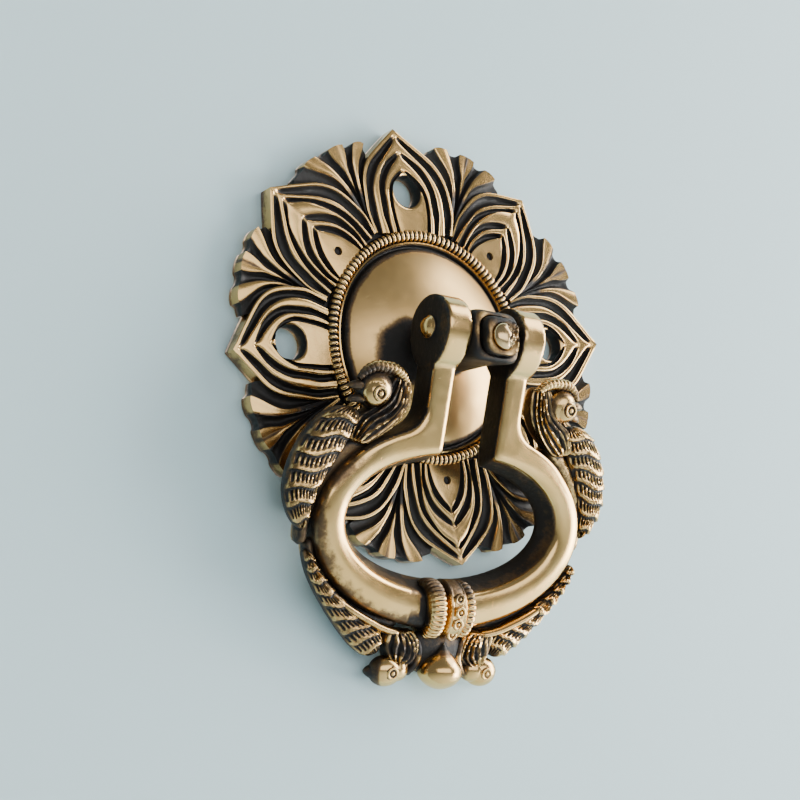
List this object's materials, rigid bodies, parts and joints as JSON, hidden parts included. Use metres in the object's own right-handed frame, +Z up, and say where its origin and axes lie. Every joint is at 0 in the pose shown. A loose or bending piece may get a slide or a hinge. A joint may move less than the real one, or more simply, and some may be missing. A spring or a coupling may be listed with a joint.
{
  "type": "door knocker",
  "caption": "Cast brass door knocker: a horseshoe ring with perched birds swings on a pin through a post clamped to a domed flower rosette that screws to the door.",
  "frame": {"origin": "centre of the rosette on its back face, which lies on the door", "axes": "+Z up the door, -Y out of the door towards the viewer, +X to the viewer's right along the hinge pin"},
  "size_m": [0.099, 0.0325, 0.1257],
  "materials": {
    "rosette_brass": "cast, chiselled, dark patina in the grooves, polished on the high spots",
    "ring_brass": "cast, polished flat front, dark patina in the carving",
    "post_brass": "rough cast, darkened",
    "stud_metal": "turned, hammered end, worn",
    "pin_brass": "drawn rod, hammered heads, worn bright"
  },
  "bodies": {
    "plate": {"back_plate": "rosette_brass", "hinge_post": "post_brass", "post_stud": "stud_metal", "post_nut": "post_brass", "stud_washer": "stud_metal", "stud_rear_nut": "stud_metal"},
    "knocker": {"knocker_ring": "ring_brass", "hinge_pin": "pin_brass"}
  },
  "joints": [
    {"name": "knocker_swing", "type": "hinge", "parent": "plate", "child": "knocker", "pos_m": [0, -0.021, -0.001], "axis": [-1, 0, 0], "range_deg": [0, 205]}
  ]
}
